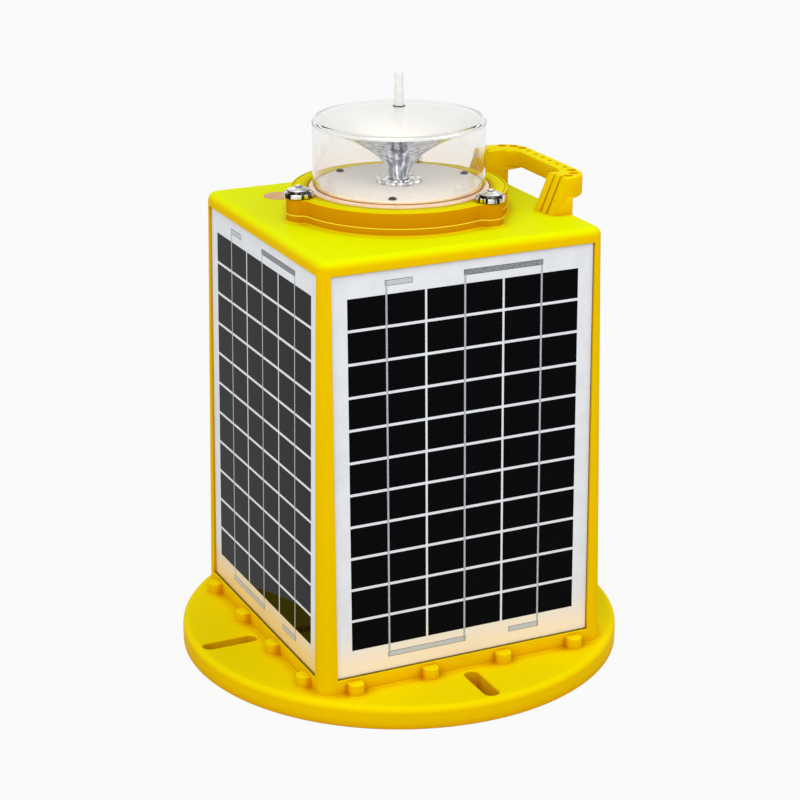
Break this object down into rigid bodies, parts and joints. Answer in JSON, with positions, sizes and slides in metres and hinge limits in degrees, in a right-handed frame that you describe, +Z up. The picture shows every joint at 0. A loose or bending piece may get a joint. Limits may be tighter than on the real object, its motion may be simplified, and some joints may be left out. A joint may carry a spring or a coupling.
{
  "type": "solar marine lantern",
  "caption": "Self-contained solar marine lantern: tapered square solar housing on a round slotted flange, with a clear drum lens, trumpet reflector and side carrying handle.",
  "frame": {"origin": "centre of the flange's underside, where the lantern stands on its platform", "axes": "+Z up along the lantern's axis, -Y out of the front panel, +X towards the side that carries the handle"},
  "size_m": [0.412, 0.412, 0.5402],
  "materials": {
    "yellow_polyethylene": "rotomoulded polyethylene, satin with a fine orange-peel skin",
    "black_rubber": "moulded sealing rubber, matt",
    "peach_silicone": "soft peach silicone, satin",
    "stainless_steel": "plain stainless screws",
    "battery_case": "dark moulded battery case",
    "panel_glass_on_white": "tempered glass over a white backing sheet, glossy",
    "silicon_cells": "near-black silicon cells with fine silver fingers under the glass",
    "clear_polycarbonate": "clear moulded polycarbonate, polished",
    "white_board": "white solder mask",
    "black_screw": "black oxide screws",
    "chrome": "mirror-bright plated or polished",
    "milky_plastic": "milky translucent plastic",
    "sensor_window": "tinted translucent window"
  },
  "bodies": {
    "root": {"battery": "battery_case", "bird_spike": "milky_plastic", "board_screw_1": "black_screw", "board_screw_2": "black_screw", "board_screw_3": "black_screw", "bottom_cover": "yellow_polyethylene", "cap_bolt_1": "chrome", "cap_bolt_2": "chrome", "cap_bolt_3": "chrome", "cells_back": "silicon_cells", "cells_front": "silicon_cells", "cells_left": "silicon_cells", "cells_right": "silicon_cells", "cover_gasket": "black_rubber", "cover_screw_01": "stainless_steel", "cover_screw_02": "stainless_steel", "cover_screw_03": "stainless_steel", "cover_screw_04": "stainless_steel", "cover_screw_05": "stainless_steel", "cover_screw_06": "stainless_steel", "cover_screw_07": "stainless_steel", "cover_screw_08": "stainless_steel", "cover_screw_09": "stainless_steel", "cover_screw_10": "stainless_steel", "cover_screw_11": "stainless_steel", "cover_screw_12": "stainless_steel", "cover_screw_13": "stainless_steel", "cover_screw_14": "stainless_steel", "cover_screw_15": "stainless_steel", "cover_screw_16": "stainless_steel", "handle": "yellow_polyethylene", "housing": "yellow_polyethylene", "lamp_base": "yellow_polyethylene", "led_board": "white_board", "led_ring": "chrome", "lens_cover": "clear_polycarbonate", "lens_seal": "peach_silicone", "light_sensor": "sensor_window", "panel_back": "panel_glass_on_white", "panel_front": "panel_glass_on_white", "panel_left": "panel_glass_on_white", "panel_right": "panel_glass_on_white", "reflector": "chrome", "washer_1": "chrome", "washer_2": "chrome", "washer_3": "chrome"}
  },
  "joints": []
}
